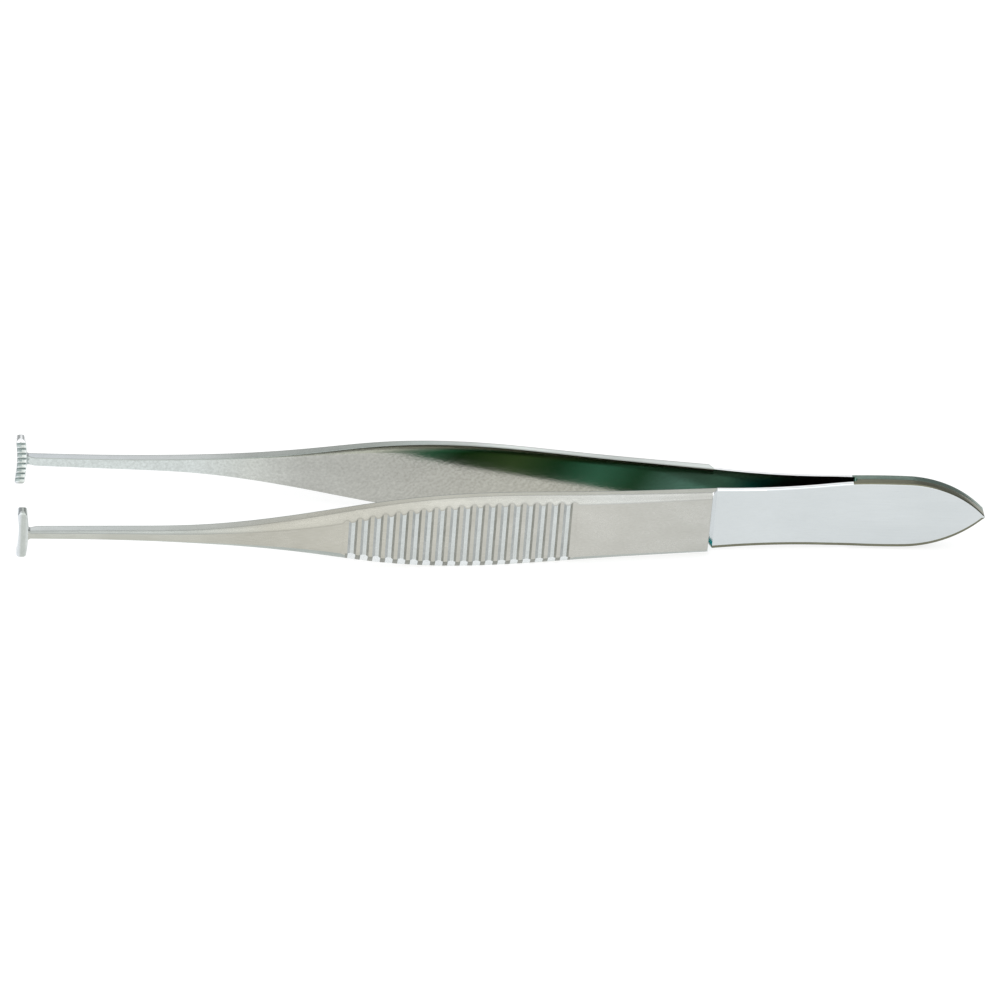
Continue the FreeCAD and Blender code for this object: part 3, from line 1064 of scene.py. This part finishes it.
FINISHES: dict[Zone, Steel] = {
    Zone.SATIN: Steel("satin_steel", (0.48, 0.47, 0.42), (0.59, 0.58, 0.53), (0.24, 0.36),
                      (1.6, 0.05, 0.09), (6.0, 3.0, 3.0), 0.5, 0.004,
                      tints=((-50.0, (0.90, 0.94, 0.95)), (-36.0, (0.90, 0.92, 0.91)),
                             (-28.0, (0.83, 0.83, 0.81)), (-16.0, (0.94, 0.94, 0.92)),
                             (6.0, (0.96, 0.97, 0.99)), (23.0, (0.91, 0.93, 0.96)))),
    # Crests: wear with a painted highlight, lighter and bluer than the satin steel.
    Zone.RIDGE_WEAR_AND_HIGHLIGHT: Steel("worn_ridge_painted_highlight", (0.52, 0.55, 0.54), (0.63, 0.66, 0.65), (0.16, 0.26),
                      (0.5, 0.08, 0.3), (3.0, 3.0, 3.0), 0.4, 0.002),
    # Painted highlight at the lower ends of the ridges.
    Zone.FOOT_PAINTED_HIGHLIGHT: Steel("ridge_foot_painted_highlight", (0.70, 0.73, 0.74), (0.80, 0.83, 0.84), (0.14, 0.22),
                     (0.3, 0.08, 0.3), (2.0, 2.0, 2.0), 0.4, 0.002),
    # Painted shade on the groove walls; the finish after it is the darker copy.
    Zone.GROOVE_WALL_PAINTED_SHADE: Steel("groove_wall_painted_shade", (0.32, 0.34, 0.335), (0.45, 0.47, 0.465),
                            (0.25, 0.36), (0.4, 0.06, 0.3), (2.0, 2.0, 2.0), 0.5, 0.002),
    Zone.GROOVE_SHADE: Steel("groove_shade_steel", (0.22, 0.225, 0.20), (0.34, 0.345, 0.315),
                             (0.28, 0.40), (0.4, 0.06, 0.3), (2.0, 2.0, 2.0), 0.5, 0.002),
    Zone.BEVEL: Steel("bevel_steel", (0.40, 0.40, 0.375), (0.47, 0.47, 0.445), (0.22, 0.32),
                      (1.4, 0.06, 0.08), (5.0, 3.0, 3.0), 0.5, 0.003,
                      tints=((-50.0, (0.88, 0.93, 0.95)), (-36.0, (0.88, 0.92, 0.92)),
                             (-26.0, (0.92, 0.90, 0.84)), (-14.0, (0.96, 0.94, 0.89)),
                             (-6.0, (1.05, 1.04, 1.0)), (2.0, (1.08, 1.08, 1.06)),
                             (12.0, (1.12, 1.14, 1.16)), (23.0, (1.0, 1.0, 1.0)))),
    # Painted shade on the lower bevels and the upper inner crease, lighter towards the jaws.
    Zone.LOWER: Steel("lower_bevel_painted_shade", (0.34, 0.36, 0.34), (0.46, 0.49, 0.47), (0.24, 0.34),
                      (1.4, 0.06, 0.08), (5.0, 3.0, 3.0), 0.5, 0.003,
                      tints=((-52.0, (1.2, 1.22, 1.22)), (-34.0, (1.1, 1.12, 1.1)),
                             (-24.0, (0.9, 0.93, 0.92)), (23.0, (1.0, 1.0, 1.0)))),
    # Painted highlight: near-white steel for the shoulder slope, the spring's edges and rim, and
    # the rear bar's cap.
    Zone.PAINTED_HIGHLIGHT: Steel("painted_highlight_steel", (0.88, 0.89, 0.90), (0.95, 0.96, 0.97), (0.10, 0.18),
                       (1.2, 0.06, 0.06), (3.0, 3.0, 3.0), 0.4, 0.001),
    Zone.POLISH: Steel("polished_steel", (0.58, 0.615, 0.625), (0.63, 0.665, 0.675),
                       (0.05, 0.10), (3.5, 0.1, 0.15), (9.0, 5.0, 5.0), 0.7, 0.0006),
    Zone.INNER: Steel("milled_steel", (0.39, 0.39, 0.36), (0.54, 0.54, 0.505), (0.06, 0.14),
                      (0.30, 0.1, 0.28), (4.0, 3.0, 3.0), 0.3, 0.003,
                      tints=((-50.0, (1.28, 1.38, 1.46)), (-34.0, (1.25, 1.33, 1.40)),
                             (-28.0, (1.16, 1.20, 1.22)), (-22.0, (0.95, 0.96, 0.97)),
                             (-10.0, (0.97, 0.97, 0.96)), (5.0, (1.0, 0.99, 0.94)),
                             (54.0, (0.97, 0.97, 0.94))), mill=MillMarks()),
    Zone.EDGE: Steel("ground_edge_steel", (0.60, 0.60, 0.56), (0.70, 0.70, 0.66), (0.14, 0.24),
                     (1.2, 0.06, 0.06), (5.0, 3.0, 3.0), 0.4, 0.002,
                     tints=((-52.0, (0.98, 1.02, 1.08)), (-44.0, (0.84, 0.88, 0.92)),
                            (-30.0, (0.75, 0.76, 0.75)), (-20.0, (0.80, 0.78, 0.73)),
                            (0.0, (0.82, 0.81, 0.77)), (23.0, (0.76, 0.77, 0.75)))),
    # Painted shade on the tail's edges past the weld and along its lower band.
    Zone.TAIL_EDGE_PAINTED_SHADE: Steel("tail_edge_painted_shade", (0.14, 0.14, 0.10), (0.21, 0.21, 0.155),
                          (0.18, 0.28), (0.9, 0.08, 0.08), (4.0, 1.0, 2.0), 0.4, 0.003),
    # Painted shade in the notches of the crossbars.
    Zone.NOTCH_PAINTED_SHADE: Steel("notch_painted_shade", (0.22, 0.27, 0.26), (0.42, 0.47, 0.46), (0.2, 0.3),
                      (0.2, 0.06, 0.06), (0.6, 0.6, 0.6), 0.5, 0.002),
    Zone.JAW: Steel("jaw_steel", (0.50, 0.53, 0.52), (0.64, 0.67, 0.66), (0.18, 0.30),
                    (0.3, 0.06, 0.06), (1.0, 1.0, 1.0), 0.4, 0.003,
                    # Painted light and shade across the bar: lighter at its front and back, darker
                    # in the middle.
                    tints=((-54.1, (1.25, 1.25, 1.35)), (-53.75, (1.15, 1.15, 1.2)),
                           (-53.5, (0.82, 0.83, 0.80)), (-53.15, (0.84, 0.85, 0.82)),
                           (-52.85, (1.1, 1.1, 1.1)))),
}
# The rear arm's own copies of two finishes, carrying painted light and shade.
REAR_FINISHES: dict[Zone, Steel] = {
    # Painted shade from X -28 to -9 and painted highlights near X 2 and 23 along the rear arm's
    # top edge.
    Zone.EDGE: Steel("rear_edge_painted_light_and_shade", (0.60, 0.60, 0.57), (0.70, 0.70, 0.67), (0.14, 0.24),
                     (1.2, 0.06, 0.06), (5.0, 3.0, 3.0), 0.4, 0.002,
                     tints=((-52.0, (0.98, 1.03, 1.12)), (-38.0, (0.92, 0.95, 1.0)),
                            (-33.0, (0.86, 0.90, 0.93)), (-28.0, (0.62, 0.65, 0.65)),
                            (-13.0, (0.57, 0.61, 0.60)), (-9.0, (0.68, 0.75, 0.76)),
                            (-4.0, (0.86, 0.90, 0.92)), (2.0, (1.22, 1.28, 1.3)),
                            (12.0, (0.87, 0.91, 0.93)), (23.0, (1.17, 1.23, 1.25)))),
    # Painted shade on the rear tail's edges, greener than the front arm's.
    Zone.TAIL_EDGE_PAINTED_SHADE: Steel("rear_tail_edge_painted_shade", (0.12, 0.17, 0.145), (0.23, 0.30, 0.26),
                          (0.18, 0.28), (0.9, 0.08, 0.08), (4.0, 1.0, 2.0), 0.4, 0.003),
}


@dataclass
class Arm:
    """One arm of the forceps: its blade and its toothed crossbar, in one mesh."""

    side: Side
    notches: int
    node: str
    slot: str
    blade: Blade = field(default_factory=Blade)
    sharp_angle: float = 38.0

    def build(self) -> bpy.types.Object:
        """The arm's mesh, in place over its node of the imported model.

        Returns:
            The new object.
        """
        parts = MeshParts()
        self.blade.build(parts, self.side)
        Crossbar(self.notches).build(parts, self.side)
        mesh = bpy.data.meshes.new(f"{self.node}_steel")
        points = [(x * MM, y * MM, (z + MIDDLE_HEIGHT) * MM) for x, y, z in parts.points]
        mesh.from_pydata(points, [], parts.faces)
        mesh.polygons.foreach_set("material_index", parts.zones)
        mesh.polygons.foreach_set("use_smooth", [True] * len(mesh.polygons))
        mesh.set_sharp_from_angle(angle=math.radians(self.sharp_angle))
        mesh.validate()
        mesh.update()
        arm = bpy.data.objects.new(mesh.name, mesh)
        bpy.context.scene.collection.objects.link(arm)
        normals = arm.modifiers.new("even_faces", "WEIGHTED_NORMAL")
        normals.keep_sharp = True
        return arm

    def dress(self, arm: bpy.types.Object, finishes: dict[Zone, bpy.types.Material]) -> None:
        """Give the arm its finishes, and its place in the frame.

        Args:
            arm: The arm's object.
            finishes: The material of each zone.
        """
        for zone in Zone:
            arm.data.materials.append(finishes[zone])
        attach(arm, "root")
        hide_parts(self.node)


@dataclass(frozen=True)
class Softbox:
    """A rectangular soft light that faces the forceps.

    Attributes:
        name: Name of the light.
        direction: From the forceps to the light.
        size: Its width and height, in metres.
        radiance: How bright it looks.
        distance: How far away it is, in metres.
    """

    name: str
    direction: Point
    size: tuple[float, float]
    radiance: float
    distance: float = 0.9

    def build(self) -> None:
        """Hang the light in its place."""
        light = bpy.data.lights.new(self.name, "AREA")
        light.shape = "RECTANGLE"
        light.size, light.size_y = self.size
        light.energy = self.radiance * math.pi * self.size[0] * self.size[1]
        lamp = bpy.data.objects.new(self.name, light)
        direction = Vector(self.direction)
        lamp.location = direction.normalized() * self.distance
        lamp.rotation_euler = direction.to_track_quat("Z", "Y").to_euler()
        bpy.context.scene.collection.objects.link(lamp)


@dataclass(frozen=True)
class PhotoCamera:
    """The camera of the photograph, above the front.

    Attributes:
        down: How far it looks down, in degrees.
        around: How far it stands round from the front, in degrees, below nought towards the
            jaws.
        roll: How far it is turned, in degrees.
        distance: From the middle of the forceps, in metres.
        lens: Focal length, in millimetres.
        sensor: Width of the sensor, in millimetres.
        shift: Shift of the picture, as shares of its width.
        clip: How near it sees, in metres.
    """

    down: float = 33.0
    around: float = -6.77
    roll: float = 4.74
    distance: float = 0.732
    lens: float = 237.5
    sensor: float = 36.0
    shift: tuple[float, float] = (-0.0039, 0.0041)
    clip: float = 0.01

    def build(self) -> None:
        """Set the camera up as the scene's own."""
        down, around, roll = (math.radians(turn) for turn in (self.down, self.around, self.roll))
        forward = Vector((-math.sin(around) * math.cos(down),
                          math.cos(around) * math.cos(down), -math.sin(down)))
        across = Vector((math.cos(around), math.sin(around), 0.0))
        upward = across.cross(forward)
        right = across * math.cos(roll) + upward * math.sin(roll)
        up = upward * math.cos(roll) - across * math.sin(roll)
        data = bpy.data.cameras.new("camera")
        data.lens = self.lens
        data.sensor_width = self.sensor
        data.shift_x, data.shift_y = self.shift
        data.clip_start = self.clip
        camera = bpy.data.objects.new("camera", data)
        turn = Matrix((right, up, -forward)).transposed().to_4x4()
        middle = Vector((0.0, 0.0, MIDDLE_HEIGHT * MM))
        camera.matrix_world = Matrix.Translation(middle - forward * self.distance) @ turn
        bpy.context.scene.collection.objects.link(camera)
        bpy.context.scene.camera = camera


@dataclass
class Studio:
    """The light table, the soft lights and the camera.

    Attributes:
        table_size: Side of the table, in metres.
        table_glow: How much light it gives.
        table_white: How much light it sends back.
        sky: How bright the room is.
        sky_colour: The room's colour.
        gap_start: Where the painted shade between the arms starts along X, in metres.
        gap_end: Where it ends, at the weld.
        gap_spread: How fast half its width grows from there.
        gap_margin: Half its width at the weld.
        gap_most: The most that half its width gets.
        gap_colours: The painted shade and reflection colours along X, as the arms show them to
            each other.
        softboxes: The soft lights.
        mirrorings: The least mirrorings after which the painted shade is seen.
    """

    table_size: float = 3.0
    table_glow: float = 0.75
    table_white: float = 0.4
    table_rough: float = 0.9
    sky: float = 0.42
    sky_colour: Colour = (0.97, 1.0, 1.0)
    mirrorings: float = 1.5
    gap_start: float = -0.044
    gap_end: float = 0.0392
    gap_spread: float = 0.16
    gap_margin: float = 0.0013
    gap_most: float = 0.006
    gap_colours: tuple[tuple[float, Colour], ...] = (
        (-0.0156, (2.2, 2.25, 2.2)), (-0.0128, (0.95, 1.10, 1.0)),
        (-0.0114, (0.45, 0.68, 0.56)), (-0.0090, (0.06, 0.30, 0.16)),
        (-0.0060, (0.0, 0.06, 0.0)), (0.0, (0.10, 0.21, 0.065)),
        (0.0045, (0.02, 0.13, 0.05)), (0.0090, (0.11, 0.42, 0.30)),
        (0.0134, (0.04, 0.18, 0.09)), (0.0179, (0.28, 0.62, 0.58)),
        (0.0219, (0.32, 0.80, 0.72)), (0.0254, (0.0, 0.26, 0.26)),
        (0.0278, (0.0, 0.0, 0.0)))
    softboxes: tuple[Softbox, ...] = (
        Softbox("back_softbox", (0.06, 0.83, 0.56), (0.42, 0.34), 0.55),
        Softbox("front_softbox", (0.1, -0.66, 0.75), (0.9, 0.5), 0.85),
        Softbox("top_softbox", (0.0, 0.05, 1.0), (1.6, 1.7), 0.6, distance=1.0),
        Softbox("front_wall", (0.1, -0.95, 0.3), (1.7, 0.62), 1.0))
    camera: PhotoCamera = PhotoCamera()

    def build(self) -> None:
        """Set up everything round the forceps."""
        self._table()
        self._sky()
        for softbox in self.softboxes:
            softbox.build()
        self.camera.build()

    def _table(self) -> None:
        """The white table that the forceps lie on, with painted shade and reflection between the
        arms.
        """
        half = self.table_size / 2
        mesh = bpy.data.meshes.new("light_table")
        mesh.from_pydata([(-half, -half, 0), (half, -half, 0), (half, half, 0),
                          (-half, half, 0)], [], [(0, 1, 2, 3)])
        table = bpy.data.objects.new("light_table", mesh)
        bpy.context.scene.collection.objects.link(table)
        material = bpy.data.materials.new("white_acrylic")
        material.use_nodes = True
        tree = material.node_tree
        shader = tree.nodes["Principled BSDF"]
        give(tree, shader, {
            "Base Color": (*[self.table_white] * 3, 1.0), "Roughness": self.table_rough,
            "Specular IOR Level": 0.0, "Emission Color": (1.0, 1.0, 1.0, 1.0),
            "Emission Strength": self.table_glow})
        # Painted shade and reflection: unlit colours along X, mostly dark green, shown between the
        # arms in place of the lit table.
        painted_gap_shade = tree.nodes.new("ShaderNodeEmission")
        give(tree, painted_gap_shade, {"Color": add_ramp(tree, list(self.gap_colours))})
        mix = tree.nodes.new("ShaderNodeMixShader")
        give(tree, mix, {"Fac": self._painted_gap_shade_mask(tree), 1: shader.outputs["BSDF"],
                         2: painted_gap_shade.outputs["Emission"]})
        give(tree, tree.nodes["Material Output"], {"Surface": mix.outputs["Shader"]})
        mesh.materials.append(material)

    def _painted_gap_shade_mask(self, tree: bpy.types.NodeTree) -> bpy.types.NodeSocket:
        """Where the painted shade and reflection go: the table between the arms, seen only after
        two mirrorings.

        Args:
            tree: The table's nodes.

        Returns:
            One where the painted shade goes, between the arms after two mirrorings, else nought.
        """
        axes = object_axes(tree)
        path = tree.nodes.new("ShaderNodeLightPath")
        share = add_math(tree, "GREATER_THAN", path.outputs["Glossy Depth"], self.mirrorings)
        off = add_math(tree, "ABSOLUTE", axes["Y"])
        left = add_math(tree, "SUBTRACT", self.gap_end, axes["X"])
        wide = add_math(tree, "MULTIPLY_ADD", left, self.gap_spread, self.gap_margin)
        half = add_math(tree, "MINIMUM", wide, self.gap_most)
        for inside in (add_math(tree, "LESS_THAN", off, half),
                       add_math(tree, "GREATER_THAN", axes["X"], self.gap_start)):
            share = add_math(tree, "MULTIPLY", share, inside)
        return share

    def _sky(self) -> None:
        """An even, soft room light."""
        world = bpy.data.worlds.new("studio_room")
        world.use_nodes = True
        background = world.node_tree.nodes["Background"]
        give(world.node_tree, background, {"Color": (*self.sky_colour, 1.0),
                                           "Strength": self.sky})
        bpy.context.scene.world = world


def main() -> None:
    """Build, dress and light the forceps."""
    logging.basicConfig(level=logging.INFO, format="%(message)s")
    groups = NodeGroups()
    finishes = {zone: steel.material(groups) for zone, steel in FINISHES.items()}
    rear_finishes = finishes | {zone: steel.material(groups)
                                for zone, steel in REAR_FINISHES.items()}
    arms = (Arm(Side.FRONT, 7, "front_arm", "front_steel"),
            Arm(Side.REAR, 8, "rear_arm", "rear_steel"))
    for arm in arms:
        piece = arm.build()
        arm.dress(piece, rear_finishes if arm.side == Side.REAR else finishes)
        LOG.info("%s: %d faces", piece.name, len(piece.data.polygons))
    Studio().build()
    bpy.context.scene.view_settings.view_transform = "Standard"
    bpy.context.view_layer.update()


if __name__ == "__main__":
    main()
